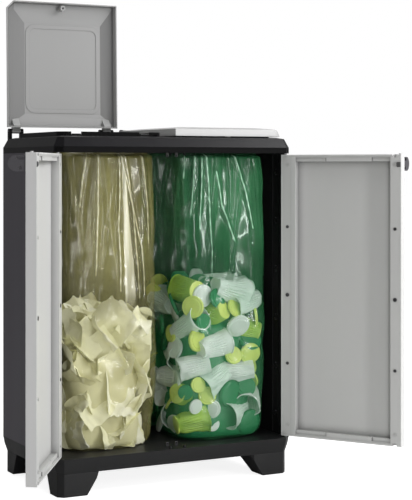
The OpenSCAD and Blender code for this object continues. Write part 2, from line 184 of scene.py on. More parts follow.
def moulded(name, col, rough=0.42, grain=0.25, var=0.06, spec=0.5, scuff=0.03, crease=0.0, reach=0.02):
    """Injection-moulded plastic: spark-eroded grain, faint flow lines, soft scuffs, and painted shade that darkens
    the colour in corners and creases.
    """
    m = Mat(name)
    big = m.noise(2.2, 2, 0.5)
    flow = m.noise(9, 4, 0.55, m.mapping((1.0, 1.0, 0.18)), 0.6)
    tone = m.math("ADD", m.math("MULTIPLY", big, 0.6), m.math("MULTIPLY", flow, 0.4))
    lo = tuple(c * (1 - var) for c in col)
    hi = tuple(min(1, c * (1 + var)) for c in col)
    base = m.ramp(tone, [(0.25, lo), (0.75, hi)])
    scratch = m.noise(60, 5, 0.7, m.mapping((1.0, 1.0, 0.08), (0.3, 0.2, 0)), 1.0)
    mask = m.maprange(scratch, 0.60, 0.74, 0.0, scuff)
    light = tuple(min(1, c + 0.10) for c in col)
    shade = m.mix(mask, base, light)
    if crease:
        # painted shade: an ambient-occlusion node darkens the base colour, by up to the crease fraction, where other
        # surfaces lie within reach
        ao = m.nt.nodes.new("ShaderNodeAmbientOcclusion")
        ao.inputs["Distance"].default_value = reach
        ao.samples = 8
        k = m.maprange(ao.outputs["AO"], 0.35, 0.95, 1 - crease, 1.0)
        painted_shade_colour = tuple(c * (1 - crease) for c in col)
        shade = m.mix(m.math("SUBTRACT", 1.0, k), shade, painted_shade_colour)
    m.set(Base_Color=shade)
    m.set(Roughness=m.math("ADD", m.maprange(flow, 0.2, 0.8, rough - 0.05, rough + 0.06), m.math("MULTIPLY", mask, 0.8)))
    m.p.inputs["Specular IOR Level"].default_value = spec
    fine = m.noise(1500, 2, 0.6)
    pits = m.voronoi(700)
    m.bump([(fine, grain, 0.00012), (pits, grain * 0.6, 0.00010), (flow, 0.05, 0.0006)])
    return m.m


def metal(name, col=(0.52, 0.52, 0.54)):
    m = Mat(name)
    n = m.noise(220, 4, 0.6, m.mapping((1, 1, 6)))
    m.set(Base_Color=m.ramp(n, [(0.3, tuple(c * 0.86 for c in col)), (0.7, col)]), Metallic=1.0)
    m.set(Roughness=m.maprange(n, 0.2, 0.8, 0.26, 0.42))
    m.bump([(n, 0.12, 0.00008)])
    return m.m


MATS = {
    "body": moulded("graphite_plastic", (0.104, 0.097, 0.113), 0.50, 0.35, 0.07, 0.35),
    # where an entry has eight or nine numbers, the eighth and ninth set the strength and reach of painted shade in
    # its corners and creases
    "pull": moulded("graphite_pull", (0.085, 0.082, 0.090), 0.40, 0.3, 0.07, 0.5, 0.03, 0.7, 0.006),
    "frame_top": moulded("graphite_plastic_top", (0.0095, 0.0092, 0.0105), 0.30, 0.28, 0.07, 0.13),
    # the frame's own plastic darkened: painted shade on its front-facing band
    "frame_band": moulded("graphite_band_painted_shade", (0.0035, 0.0034, 0.0036), 0.5, 0.28, 0.07, 0.05),
    "base": moulded("black_plastic", (0.014, 0.014, 0.0145), 0.42, 0.35, 0.07, 0.25),
    "ring": moulded("black_ring_plastic", (0.012, 0.012, 0.013), 0.40, 0.3, 0.08, 0.4),
    "pocket": moulded("pocket_painted_shade_black", (0.004, 0.004, 0.004), 0.7, 0.2, 0.08, 0.1),
    "door": moulded("door_plastic", (0.68, 0.678, 0.672), 0.36, 0.18, 0.015, 0.45, 0.02, 0.55, 0.020),
    # the liner is the door's plastic at a lower tone: painted shade on the doors' inner faces
    "liner": moulded("liner_plastic", (0.56, 0.56, 0.553), 0.40, 0.22, 0.02, 0.45, 0.02, 0.72, 0.024),
    "lid": moulded("lid_plastic", (0.51, 0.51, 0.506), 0.38, 0.22, 0.02, 0.45, 0.02),
    # lid_slope and lid_inside are the lid's plastic at lower tones: painted shade on the lid's underside and its
    # sloped borders
    "lid_slope": moulded("lid_slope_painted_shade_plastic", (0.185, 0.185, 0.184), 0.46, 0.25, 0.02, 0.35, 0.02, 0.5, 0.030),
    "lid_inside": moulded("lid_inside_painted_shade_plastic", (0.30, 0.30, 0.298), 0.46, 0.25, 0.02, 0.4, 0.02, 0.62, 0.045),
    "steel": metal("zinc_steel"),
    "dark_steel": metal("dark_fixing_steel", (0.10, 0.10, 0.105)),
    "light_steel": moulded("pale_fixing_cap", (0.50, 0.50, 0.49), 0.35, 0.1, 0.03, 0.5, 0.02, 0.5, 0.004),
    "catch": moulded("grey_catch", (0.10, 0.10, 0.10), 0.4, 0.2, 0.05, 0.4),
}

# ---------------------------------------------------------------- mesh helpers


def new_object(name, mesh, mat):
    o = bpy.data.objects.new(name, mesh)
    scene.collection.objects.link(o)
    if mat is not None:
        o.data.materials.clear()
        o.data.materials.append(mat)
    return o


def mesh_from(name, verts, faces, smooth=True):
    me = bpy.data.meshes.new(name)
    me.from_pydata([tuple(v) for v in verts], [], faces)
    me.validate()
    me.update()
    me.polygons.foreach_set("use_smooth", [smooth] * len(me.polygons))
    return me


def bake_modifiers(o):
    """Writes the object's modifiers into its mesh."""
    bpy.context.view_layer.update()
    dg = bpy.context.evaluated_depsgraph_get()
    me = bpy.data.meshes.new_from_object(o.evaluated_get(dg), preserve_all_data_layers=True, depsgraph=dg)
    old = o.data
    o.modifiers.clear()
    o.data = me
    bpy.data.meshes.remove(old)
    return o


def sharp_by_angle(me, deg):
    """Smooth faces, with edges sharper than deg left crisp."""
    bm = bmesh.new()
    bm.from_mesh(me)
    lim = math.radians(deg)
    for f in bm.faces:
        f.smooth = True
    for e in bm.edges:
        e.smooth = not (len(e.link_faces) != 2 or e.calc_face_angle(0) > lim)
    bm.to_mesh(me)
    bm.free()


BODY_OF = {n: b for b, ns in frame["record"]["behaviour"]["bodies"].items() for n in ns}


def refined(node, mat, width=0.0012, segments=2, angle=25):
    """The CAD piece again, with its moulded edges rounded and its broad faces kept flat."""
    src = frame["nodes"][node]
    me = src.data.copy()
    me.name = node + "_mesh"
    bm = bmesh.new()
    bm.from_mesh(me)
    bmesh.ops.remove_doubles(bm, verts=bm.verts, dist=1e-6)
    bmesh.ops.dissolve_limit(bm, angle_limit=math.radians(0.6), use_dissolve_boundaries=False, verts=bm.verts, edges=bm.edges, delimit=set())
    for f in bm.faces:
        f.smooth = True
    for e in bm.edges:
        if len(e.link_faces) == 2:
            a = math.degrees(e.calc_face_angle(0))
            e.smooth = not (2.5 < a < angle and min(f.calc_area() for f in e.link_faces) > 5e-4)
    bm.to_mesh(me)
    bm.free()
    o = new_object(node + "_moulded", me, mat)
    if width:
        b = o.modifiers.new("round", "BEVEL")
        b.width = width
        b.segments = segments
        b.limit_method = "ANGLE"
        b.angle_limit = math.radians(angle)
        b.use_clamp_overlap = True
        b.miter_outer = "MITER_ARC"
        b.harden_normals = False
    w = o.modifiers.new("flat", "WEIGHTED_NORMAL")
    w.mode = "FACE_AREA"
    w.weight = 100
    w.keep_sharp = True
    bake_modifiers(o)
    o.data.materials.clear()
    o.data.materials.append(mat)
    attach(o, BODY_OF[node])
    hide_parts(node)
    return o


def second_material(o, mat, test):
    """Faces that pass the test take another material."""
    o.data.materials.append(mat)
    k = len(o.data.materials) - 1
    for f in o.data.polygons:
        if test(f):
            f.material_index = k


# ---------------------------------------------------------------- cabinet pieces
for n in ("base_tray", "foot_front_left", "foot_front_right", "foot_rear_left", "foot_rear_right"):
    refined(n, MATS["base"], 0.0014)
for n in ("rear_panel_left", "rear_panel_right", "rear_joint_strip"):
    o = refined(n, MATS["body"], 0.0010)
    second_material(o, MATS["base"], lambda f: f.normal.y < -0.5)
for n, k in (("side_panel_left", 1), ("side_panel_right", -1)):
    o = refined(n, MATS["body"], 0.0010)
    second_material(o, MATS["base"], lambda f: f.normal.x * k > 0.3 or f.normal.y < -0.6)
o = refined("top_frame", MATS["frame_top"], 0.0010)
# painted shade: the frame's front-facing band takes the darkened copy of its plastic
second_material(o, MATS["frame_band"], lambda f: f.normal.y < -0.93)
for side in ("left", "right"):
    refined(side + "_door_shell", MATS["door"], 0.0011)
    refined(side + "_door_liner", MATS["liner"], 0.0009)
    refined(side + "_door_pull", MATS["pull"], 0.0012)
    lid = refined(side + "_lid_shell", MATS["lid"], 0.0010)
    # painted shade: the lid's underside and its sloped borders take the darkened copies of the lid plastic
    if side == "left":
        second_material(lid, MATS["lid_inside"], lambda f: f.normal.y < -0.25)
        second_material(lid, MATS["lid_slope"], lambda f: f.normal.y < -0.25 and abs(f.normal.x) > 0.04)
    else:
        second_material(lid, MATS["lid_inside"], lambda f: f.normal.z < -0.25)
        second_material(lid, MATS["lid_slope"], lambda f: f.normal.z < -0.25 and abs(f.normal.x) > 0.04)
    refined("bag_ring_" + side, MATS["ring"], 0.0010)
for n, m in (("rear_panel_screws", "steel"), ("door_pivot_pins", "steel"), ("left_lid_pins", "steel"), ("right_lid_pins", "steel"),
             ("bag_clips", "ring"), ("left_door_catch", "catch"), ("right_door_catch", "catch")):
    o = frame["nodes"][n]
    if not o.material_slots:
        o.data.materials.append(MATS[m])
    for s in o.material_slots:
        s.material = MATS[m]
for side in ("left", "right"):
    n = side + "_door_fixings"
    o = refined(n, MATS["dark_steel"], 0.0004, 1)
    second_material(o, MATS["light_steel"], lambda f: not 0.2 < f.center.z < 0.75)
    if side == "left":
        # the free rail's fixings are plugged with pale caps, but for the big middle one
        second_material(o, MATS["light_steel"], lambda f: f.center.y < -0.35 and abs(f.center.z - 0.475) > 0.05)

# drilled lugs above and below the middle of the doorway, where the door catches land
for s in (-1, 1):
    for tag, zc, zh in (("top", 0.8465, 0.8445), ("foot", 0.1005, 0.1025)):
        bm = bmesh.new()
        bmesh.ops.create_cube(bm, size=1.0, matrix=Matrix.Translation((s * 0.0135, -0.150, zc)) @ Matrix.Diagonal((0.009, 0.003, 0.011, 1)))
        me = bpy.data.meshes.new("lug")
        bm.to_mesh(me)
        bm.free()
        o = new_object("catch_lug_" + tag + ("_left" if s < 0 else "_right"), me, MATS["ring"])
        b = o.modifiers.new("round", "BEVEL")
        b.width = 0.0012
        b.segments = 2
        bake_modifiers(o)
        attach(o, "cabinet")
        # each lug's hole is a flat near-black disc on its face: painted shade standing in for the hole's depth
        bm = bmesh.new()
        bmesh.ops.create_circle(bm, cap_ends=True, segments=20, radius=0.0021, matrix=Matrix.Translation((s * 0.0135, -0.15155, zh)) @ Matrix.Rotation(math.pi / 2, 4, "X"))
        me = bpy.data.meshes.new("hole")
        bm.to_mesh(me)
        bm.free()
        o = new_object("catch_hole_" + tag + ("_left" if s < 0 else "_right"), me, MATS["pocket"])
        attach(o, "cabinet")

# near-black boxes set in the pockets at the foot of the frame's front corners: painted shade standing in for the
# pockets' depth
lo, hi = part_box("top_frame")
for s in (-1, 1):
    cx, cy = s * (0.340 - 0.010), -0.195 + 0.010
    t = Vector((s * math.sqrt(0.5), math.sqrt(0.5), 0))
    n = Vector((s * math.sqrt(0.5), -math.sqrt(0.5), 0))
    c = Vector((cx, cy, 0.859)) - n * 0.0006
    vs = []
    for a in (-0.0108, 0.0108):
        for d in (-0.0012, 0.0004):
            for h in (-0.0053, 0.0063):
                vs.append(c + t * a + n * d + Vector((0, 0, h)))
    me = mesh_from("pocket", vs, [(0, 1, 3, 2), (4, 6, 7, 5), (0, 4, 5, 1), (2, 3, 7, 6), (0, 2, 6, 4), (1, 5, 7, 3)], smooth=False)
    o = new_object("corner_pocket_" + ("left" if s < 0 else "right"), me, MATS["pocket"])
    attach(o, "cabinet")

# ---------------------------------------------------------------- bags
M = 0.001


def rrect_point(w, d, r, t):
    """Point at fraction t of the way round a rounded rectangle, with its outward direction."""
    r = min(r, w / 2 - 1e-6, d / 2 - 1e-6)
    sx, sy, arc = w - 2 * r, d - 2 * r, math.pi * r / 2
    total = 2 * (sx + sy) + 4 * arc
    s = (t % 1.0) * total
    # starts at the middle of the back, clockwise from above towards +X
    segs = [("l", sx / 2, (0, d / 2), (1, 0)), ("a", arc, (w / 2 - r, d / 2 - r), math.pi / 2),
            ("l", sy, (w / 2, d / 2 - r), (0, -1)), ("a", arc, (w / 2 - r, -d / 2 + r), 0),
            ("l", sx, (w / 2 - r, -d / 2), (-1, 0)), ("a", arc, (-w / 2 + r, -d / 2 + r), -math.pi / 2),
            ("l", sy, (-w / 2, -d / 2 + r), (0, 1)), ("a", arc, (-w / 2 + r, d / 2 - r), -math.pi),
            ("l", sx / 2, (-w / 2 + r, d / 2), (1, 0))]
    for kind, ln, a, b in segs:
        if s <= ln or (kind, ln, a, b) == segs[-1]:
            if kind == "l":
                x, y = a[0] + b[0] * s, a[1] + b[1] * s
                return x, y, -b[1], b[0]
            ang = b - s / r
            return a[0] + r * math.cos(ang), a[1] + r * math.sin(ang), math.cos(ang), math.sin(ang)
        s -= ln
    return 0, d / 2, 0, 1


def smooth(a, b, x):
    t = max(0.0, min(1.0, (x - a) / (b - a)))
    return t * t * (3 - 2 * t)


def ridge(v):
    return 1.0 - abs(v) * 2.0


def tents(S, Z, per, lines, out):
    """Raises out along folds. Each line is (s0, z0, s1, z1, height, slope, sign): a straight crease with flat flanks."""
    for s0, z0, s1, z1, h, k, sign in lines:
        reach = h / k
        lo_z, hi_z = min(z0, z1) - reach, max(z0, z1) + reach
        rows = np.where((Z[:, 0] > lo_z) & (Z[:, 0] < hi_z))[0]
        if len(rows) == 0:
            continue
        r0, r1 = rows[0], rows[-1] + 1
        ds, dz = s1 - s0, z1 - z0
        ln = math.hypot(ds, dz)
        q = (S[r0:r1] - s0 + per / 2) % per - per / 2
        w = Z[r0:r1] - z0
        t = np.clip((q * ds + w * dz) / (ln * ln), 0, 1)
        # the crease is highest part-way along and dies out at its lower end
        d = np.hypot(q - t * ds, w - t * dz)
        env = np.minimum(1, (1 - t) * 3.0) if z0 > z1 else np.minimum(1, t * 3.0)
        e = h * env * (1 - 0.35 * t) - k * d
        tgt = out[0 if sign > 0 else 1][r0:r1]
        np.maximum(tgt, e, out=tgt)


def film_bag(side, seed, fill_top, mat):
    r = random.Random(int(seed * 1000))
    lo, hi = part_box("bag_left" if side < 0 else "bag_right")
    rl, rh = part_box("bag_ring_left" if side < 0 else "bag_ring_right")
    cx, cy = (rl.x + rh.x) / 2 * 1000, (rl.y + rh.y) / 2 * 1000
    z0, z1 = lo.z * 1000, hi.z * 1000
    W, D = (rh.x - rl.x) * 1000 - 18, (rh.y - rl.y) * 1000 - 18
    # height, centre, width, depth and corner radius of the hanging sack
    shape = [(z1, 161.5, cy, W, D, 48), (862, 161.5, cy, W - 8, D - 8, 50), (851, 162, cy - 6, W - 12, D - 8, 54), (843, 163.5, -4, 264, 292, 62),
             (780, 164, -6, 268, 300, 62), (700, 164, -6, 270, 302, 60), (540, 164, -7, 272, 302, 60), (400, 164, -6, 273, 302, 60),
             (250, 164, -6, 272, 301, 62), (130, 164, -6, 268, 298, 66), (z0, 164, -6, 264, 294, 70)]
    shape = shape[::-1]
    sz = [q[0] for q in shape]

    def sack(z):
        """Eased between the rows of the table."""
        k = max(0, min(len(sz) - 2, int(np.searchsorted(sz, z)) - 1))
        t = (z - sz[k]) / (sz[k + 1] - sz[k])
        t = max(0.0, min(1.0, t))
        return [shape[k][c] + (shape[k + 1][c] - shape[k][c]) * t for c in range(1, 6)]

    NU, NV = 600, 210
    H = z1 - z0
    per = 2 * (W + D) - 8 * 48 + 2 * math.pi * 48
    vs = np.concatenate([np.linspace(0, 0.06, 14, endpoint=False), np.linspace(0.06, 1, NV + 1 - 14)])
    zs = z0 + H * vs
    S, Z = np.meshgrid(np.arange(NU) * per / NU, zs)
    ridge_h, valley_h = np.full(S.shape, -50.0), np.full(S.shape, -50.0)
    folds = []
    # folds that start at gathers on the ring and fan out downwards
    gathers = 13
    for g in range(gathers):
        sg = (g + r.uniform(-0.28, 0.28)) * per / gathers
        for k in range(r.choice((2, 3))):
            length = r.uniform(0.22, 0.80) * H * r.uniform(0.7, 1.0)
            lean = r.uniform(-0.20, 0.20)
            start = z1 - r.uniform(0, 30)
            folds.append((sg + r.uniform(-9, 9), start, sg + lean * length, start - length, r.uniform(1.6, 4.0), r.uniform(0.20, 0.45), 1 if r.random() < 0.6 else -1))
    for k in range(12):
        sg = r.uniform(0, per)
        length = r.uniform(0.35, 0.75) * H
        folds.append((sg, z1 - r.uniform(0, 60), sg + r.uniform(-0.13, 0.13) * length, z1 - 60 - length, r.uniform(1.2, 3.0), r.uniform(0.3, 0.6), r.choice((1, -1))))
    # the main folds down the front of the sack, from its top edge
    sx0 = shape[-4][1] * side

    def along(x, z):
        """Distance round the sack of a point on its front."""
        row = sack(z)
        best = min(range(NU), key=lambda i: abs(row[0] * side + rrect_point(row[2], row[3], row[4], i / NU)[0] - x) + (0 if rrect_point(row[2], row[3], row[4], i / NU)[3] < -0.4 else 999))
        return best * per / NU

    main_folds = ([((-235, 848), (-253, 784), (-260, 713)), ((-205, 848), (-212, 712), (-216, 542)), ((-148, 848), (-154, 643), (-148, 500)),
                   ((-135, 848), (-115, 724), (-95, 481)), ((-140, 820), (-90, 611), (-81, 488)), ((-86, 843), (-66, 618))] if side < 0 else
                  [((48, 843), (44, 787)), ((70, 843), (60, 722), (56, 689)), ((103, 849), (108, 721), (117, 530)), ((130, 803), (150, 704), (187, 620)),
                   ((187, 844), (212, 770), (240, 653)), ((88, 839), (80, 652))])
    bright = []
    for line in main_folds:
        for (xa, za), (xb, zb) in zip(line[:-1], line[1:]):
            fold = (along(xa, za), za, along(xb, zb), zb, r.uniform(4.0, 5.5), r.uniform(0.40, 0.55), 1)
            folds.append(fold)
            bright.append(fold)
    # short creases where the film is stretched over what is inside
    for k in range(230):
        sg, zg = r.uniform(0, per), r.uniform(z0 + 4, fill_top + 60)
        ang = math.radians(90 + r.gauss(0, 42))
        ln = r.uniform(25, 120)
        folds.append((sg, zg, sg + math.cos(ang) * ln, zg - abs(math.sin(ang)) * ln, r.uniform(0.8, 2.8), r.uniform(0.2, 0.5), r.choice((1, 1, -1))))
    tents(S, Z, per, folds, (ridge_h, valley_h))
    # strength of the painted highlight along the listed front folds
    painted_highlight = np.full(S.shape, 0.0)
    for s0, za, s1, zb, h, k, sign in bright:
        ds, dz = s1 - s0, zb - za
        q = (S - s0 + per / 2) % per - per / 2
        w = Z - za
        t = np.clip((q * ds + w * dz) / (ds * ds + dz * dz), 0, 1)
        d = np.hypot(q - t * ds, w - t * dz)
        np.maximum(painted_highlight, np.clip(1.6 - d / 1.1, 0, 1) * (0.55 + 0.45 * np.sin(Z * 0.11 + s0) ** 2), out=painted_highlight)
    if side < 0:
        # painted highlight: a broad pale band on the flat of film between two of the folds, standing in for the
        # reflection of the key light on it
        zz = np.clip((848 - Z) / 360, 0, 1)
        mid = along(-141, 845) + ((along(-120, 500) - along(-141, 845) + per / 2) % per - per / 2) * zz
        half = 3.5 + 12.0 * zz
        d = np.abs((S - mid + per / 2) % per - per / 2)
        band = np.clip((half - d) / 3.0, 0, 1) * np.clip((Z - 440) / 60, 0, 1) * (Z < 850)
        np.maximum(painted_highlight, band * 0.75, out=painted_highlight)
    rel = np.maximum(ridge_h, 0) - np.maximum(valley_h, 0) * 0.8
    soft = rel.copy()
    for _ in range(1):
        soft = (soft * 2 + np.roll(soft, 1, 1) + np.roll(soft, -1, 1)) / 4
    sharp = np.clip(ridge_h / 4.5, 0, 1)
    verts, crease, touch = [], [], []
    for j in range(NV + 1):
        v, z = vs[j], zs[j]
        foot = math.sqrt(max(0.0, 1 - (1 - min(1.0, v / 0.055)) ** 2))
        low = 1 - smooth((fill_top - z0) / H, (fill_top - z0) / H + 0.22, v)
        # averaged over a short stretch, so that the outline runs on smoothly
        rows = [sack(z + q) for q in ((-20, -10, 0, 10, 20) if z < 815 else (-2, 0, 2))]
        sx, sy, w, d, rr = [sum(c) / len(rows) for c in zip(*rows)]
        sx *= side
        w -= 46 * (1 - foot)
        d -= 46 * (1 - foot)
        for i in range(NU):
            x, y, nx, ny = rrect_point(w, d, rr, i / NU)
            p = Vector(((x + sx) * 0.011, (y + sy) * 0.011, z * 0.010 + seed))
            swell = (0.35 + 0.65 * low) * 7.0 * noise.noise(p) + 2.5 * noise.noise(p * 2.1)
            off = soft[j, i] * (1.0 if v > 0.05 else v / 0.05) + swell - 3.0
            off = min(off, 5.0)
            off *= 1 - 0.8 * smooth(0.985, 1.0, v)
            X, Y = sx + x + nx * off, sy + y + ny * off
            verts.append((X * M, Y * M, (z + (1 - min(1.0, v / 0.06)) * 2.0 * (noise.noise(Vector((X * 0.03, Y * 0.03, seed))) + 0.5)) * M))
            # the crease attribute: sharp fold ridges plus the painted highlight; the film material paints it pale and
            # makes the film more opaque there
            crease.append(float(max(0.45 * sharp[j, i] ** 4, painted_highlight[j, i])))
            touch.append(float(low))
    faces = []
    for j in range(NV):
        for i in range(NU):
            a, b = j * NU + i, j * NU + (i + 1) % NU
            faces.append((a, b, b + NU, a + NU))
    # gathered floor of the sack
    rings = 14
    base = list(range(NU))
    fx, fy = shape[0][1] * side, shape[0][2]
    prev = base
    for k in range(1, rings):
        f = 1 - k / rings
        ring = []
        for i in range(NU):
            x, y, z = verts[base[i]]
            X, Y = fx * M + (x - fx * M) * f, fy * M + (y - fy * M) * f
            zz = z0 * M + (0.4 + 1.4 * (noise.noise(Vector((X * 30, Y * 30, seed))) + 0.5)) * M
            ring.append(len(verts))
            verts.append((X, Y, max(z0 * M + 0.0001, zz)))
            crease.append(0.0)
        for i in range(NU):
            faces.append((prev[(i + 1) % NU], prev[i], ring[i], ring[(i + 1) % NU]))
        prev = ring
    c = len(verts)
    verts.append((fx * M, fy * M, z0 * M + 0.001))
    crease.append(0.0)
    for i in range(NU):
        faces.append((prev[(i + 1) % NU], prev[i], c))
    # mouth turned out over the ring
    prev = [NV * NU + i for i in range(NU)]
    for k, (out, up_) in enumerate(((2.5, 3.2), (6.0, 4.2), (8.4, 3.4), (9.2, 0.2), (9.2, -3.0))):
        ring = []
        for i in range(NU):
            t = i / NU
            x, y, nx, ny = rrect_point(W, D, 48, t)
            o = out * 0.92 + 0.4 * noise.noise(Vector((t * 60, seed, k)))
            ring.append(len(verts))
            verts.append(((cx + x + nx * o) * M, (cy + y + ny * o) * M, (z1 + up_) * M))
            crease.append(0.1)
        for i in range(NU):
            faces.append((prev[i], prev[(i + 1) % NU], ring[(i + 1) % NU], ring[i]))
        prev = ring
    me = mesh_from("film", verts, faces)
    at = me.attributes.new("crease", "FLOAT", "POINT")
    at.data.foreach_set("value", crease)
    at = me.attributes.new("touch", "FLOAT", "POINT")
    at.data.foreach_set("value", touch + [1.0] * (len(verts) - len(touch)))
    name = "bag_left_film" if side < 0 else "bag_right_film"
    o = new_object(name, me, mat)
    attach(o, "cabinet")
    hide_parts("bag_left" if side < 0 else "bag_right")
    return o


def film_material(name, dark, light, pale, alpha_lo, alpha_hi):
    m = Mat(name)
    crease_glint = m.attr("crease")
    touch = m.attr("touch")
    wisp = m.noise(11, 4, 0.6, m.mapping((1, 1, 0.14)), 1.2)
    wide = m.noise(5, 2, 0.5, m.mapping((1, 1, 0.25)))
    tone = m.math("ADD", m.math("MULTIPLY", wisp, 0.5), m.math("MULTIPLY", wide, 0.5))
    col = m.ramp(tone, [(0.36, dark), (0.64, light)])
    # painted highlight: along the crease attribute the colour is mixed toward pale, standing in for glints of the
    # lights on the folds; the alpha below also rises on the folds, where the film lies double
    painted_glint = m.math("MULTIPLY", crease_glint, m.maprange(wisp, 0.35, 0.65, 0.45, 1.0))
    m.set(Base_Color=m.mix(painted_glint, col, pale))
    al = m.math("MULTIPLY", m.maprange(tone, 0.36, 0.66, alpha_lo, alpha_hi), m.maprange(touch, 0.0, 1.0, 1.0, 0.52))
    al = m.math("ADD", al, m.math("MULTIPLY", crease_glint, 0.50))
    m.set(Alpha=m.math("MINIMUM", al, 0.92))
    m.set(Roughness=m.maprange(wisp, 0.2, 0.8, 0.12, 0.22))
    m.p.inputs["Specular IOR Level"].default_value = 0.45
    m.p.inputs["Coat Weight"].default_value = 0.55
    m.p.inputs["Coat Roughness"].default_value = 0.08
    fine = m.noise(60, 4, 0.6, m.mapping((1, 1, 0.22)), 1.5)
    m.bump([(fine, 0.14, 0.0008), (wisp, 0.15, 0.002)])
    return m.m


FILM_L = film_material("olive_film", (0.20, 0.185, 0.055), (0.42, 0.395, 0.15), (0.95, 0.93, 0.74), 0.38, 0.56)
FILM_R = film_material("green_film", (0.022, 0.135, 0.050), (0.065, 0.31, 0.125), (0.66, 0.92, 0.74), 0.40, 0.58)
film_bag(-1, 3.1, 440, FILM_L)
film_bag(1, 8.6, 525, FILM_R)

# ---------------------------------------------------------------- left bag: crumpled sheets


def paper_sheet(size, seed, folds):
    """A torn sheet: bent round soft curves, folded once or twice, with a wavy edge."""
    r = random.Random(seed)
    n = 21
    grid = []
    asp = r.uniform(0.75, 1.25)
    for j in range(n):
        for i in range(n):
            u, w = i / (n - 1) - 0.5, j / (n - 1) - 0.5
            edge = max(abs(u), abs(w)) * 2
            k = 1 + edge ** 4 * 0.10 * noise.noise(Vector((u * 7, w * 7, seed * 0.7)))
            grid.append(Vector((u * size * asp * k, w * size / asp * k, 0)))
    pts = grid
    for k in range(2):
        # soft bend: the sheet follows an arc past a straight line
        ang = r.uniform(0, math.tau)
        nrm = Vector((math.cos(ang), math.sin(ang), 0))
        off = r.uniform(-0.15, 0.15) * size
        rad = r.uniform(0.25, 0.6) * size
        sgn = r.choice((-1, 1))
        new = []
        for p in pts:
            d = p.dot(nrm) - off
            if d > 0:
                a = min(d / rad, 1.9)
                rest = d - a * rad
                x = rad * math.sin(a) + rest * math.cos(a)
                z = rad * (1 - math.cos(a)) + rest * math.sin(a)
                new.append(p + nrm * (x - d) + Vector((0, 0, sgn * z * 0.75)))
            else:
                new.append(p)
        pts = new
    for k in range(folds):
        ang = r.uniform(0, math.tau)
        nrm = Vector((math.cos(ang), math.sin(ang), 0))
        off = r.uniform(0.05, 0.32) * size
        turn = math.radians(r.choice((-1, 1)) * r.uniform(25, 80))
        axis = nrm.cross(Vector((0, 0, 1)))
        new = []
        for p in pts:
            d = p.dot(nrm) - off
            if d > 0:
                o = nrm * off
                f = min(1.0, d / (0.05 * size))
                new.append(o + Matrix.Rotation(turn * f, 3, axis) @ (p - o))
            else:
                new.append(p)
        pts = new
    for q, g in enumerate(grid):
        a = noise.noise(Vector((g.x, g.y, 0)) * (2.2 / size) + Vector((seed, 0, 0)))
        b = ridge(noise.noise(Vector((g.x, g.y, 0)) * (4.0 / size) + Vector((0, seed, 0))))
        pts[q] = pts[q] + Vector((0, 0, size * (0.12 * a + 0.035 * b)))
    c = sum(pts, Vector()) / len(pts)
    pts = [p - c for p in pts]
    faces = [(j * n + i, j * n + i + 1, (j + 1) * n + i + 1, (j + 1) * n + i) for j in range(n - 1) for i in range(n - 1)]
    return pts, faces


def inside_box(side, grow):
    """Room for the contents; grow is negative for further in."""
    lo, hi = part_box("bag_left" if side < 0 else "bag_right")
    return (lo.x - grow, hi.x + grow, lo.y - grow, hi.y + grow, lo.z, hi.z)


def clamp_to_bag(p, bx, r=0.060):
    """Pulls a point inside the sack's rounded outline."""
    x = min(max(p.x, bx[0]), bx[1])
    y = min(max(p.y, bx[2]), bx[3])
    z = max(p.z, bx[4] + 0.003)
    # the sack rounds in towards its floor
    f = max(0.0, 1 - (z - bx[4]) / 0.040)
    g = 0.020 * f * f
    bx = (bx[0] + g, bx[1] - g, bx[2] + g, bx[3] - g)
    cx = min(max(x, bx[0] + r), bx[1] - r)
    cy = min(max(y, bx[2] + r), bx[3] - r)
    d = math.hypot(x - cx, y - cy)
    if d > r:
        x, y = cx + (x - cx) * r / d, cy + (y - cy) * r / d
    return Vector((x, y, z))


def heap_core(side, top, mat, name, seed):
    bx = inside_box(side, -0.040)
    verts, faces = [], []
    NU, NV = 48, 24
    cx, cy = (bx[0] + bx[1]) / 2 * 1000, (bx[2] + bx[3]) / 2 * 1000
    for j in range(NV + 1):
        v = j / NV
        z = bx[4] * 1000 + 6 + (top - 50 - bx[4] * 1000) * v
        for i in range(NU):
            x, y, nx, ny = rrect_point((bx[1] - bx[0]) * 1000, (bx[3] - bx[2]) * 1000, 50, i / NU)
            k = 1 - 0.5 * smooth(0.8, 1.0, v)
            o = 9 * noise.noise(Vector((x * 0.02, y * 0.02, z * 0.02 + seed)))
            verts.append(((cx + x * k + nx * o) * M, (cy + y * k + ny * o) * M, z * M))
    for j in range(NV):
        for i in range(NU):
            a, b = j * NU + i, j * NU + (i + 1) % NU
            faces.append((a, b, b + NU, a + NU))
    faces.append(tuple(reversed(range(NU))))
    faces.append(tuple(range(NV * NU, NV * NU + NU)))
    return new_object(name, mesh_from(name, verts, faces), mat)


def paper_material(name, col):
    m = Mat(name)
    fib = m.noise(260, 5, 0.7)
    tone = m.noise(16, 3, 0.5)
    m.set(Base_Color=m.ramp(tone, [(0.3, tuple(c * 0.92 for c in col)), (0.7, col)]))
    m.set(Roughness=0.85)
    m.p.inputs["Specular IOR Level"].default_value = 0.2
    crumple = m.noise(38, 3, 0.55, None, 1.0)
    m.bump([(crumple, 0.30, 0.0022), (fib, 0.2, 0.0003)])
    return m.m


PAPER = [paper_material("cream_paper", (0.94, 0.93, 0.66)), paper_material("pale_paper", (0.97, 0.965, 0.78)),
         paper_material("tan_paper", (0.74, 0.72, 0.45))]


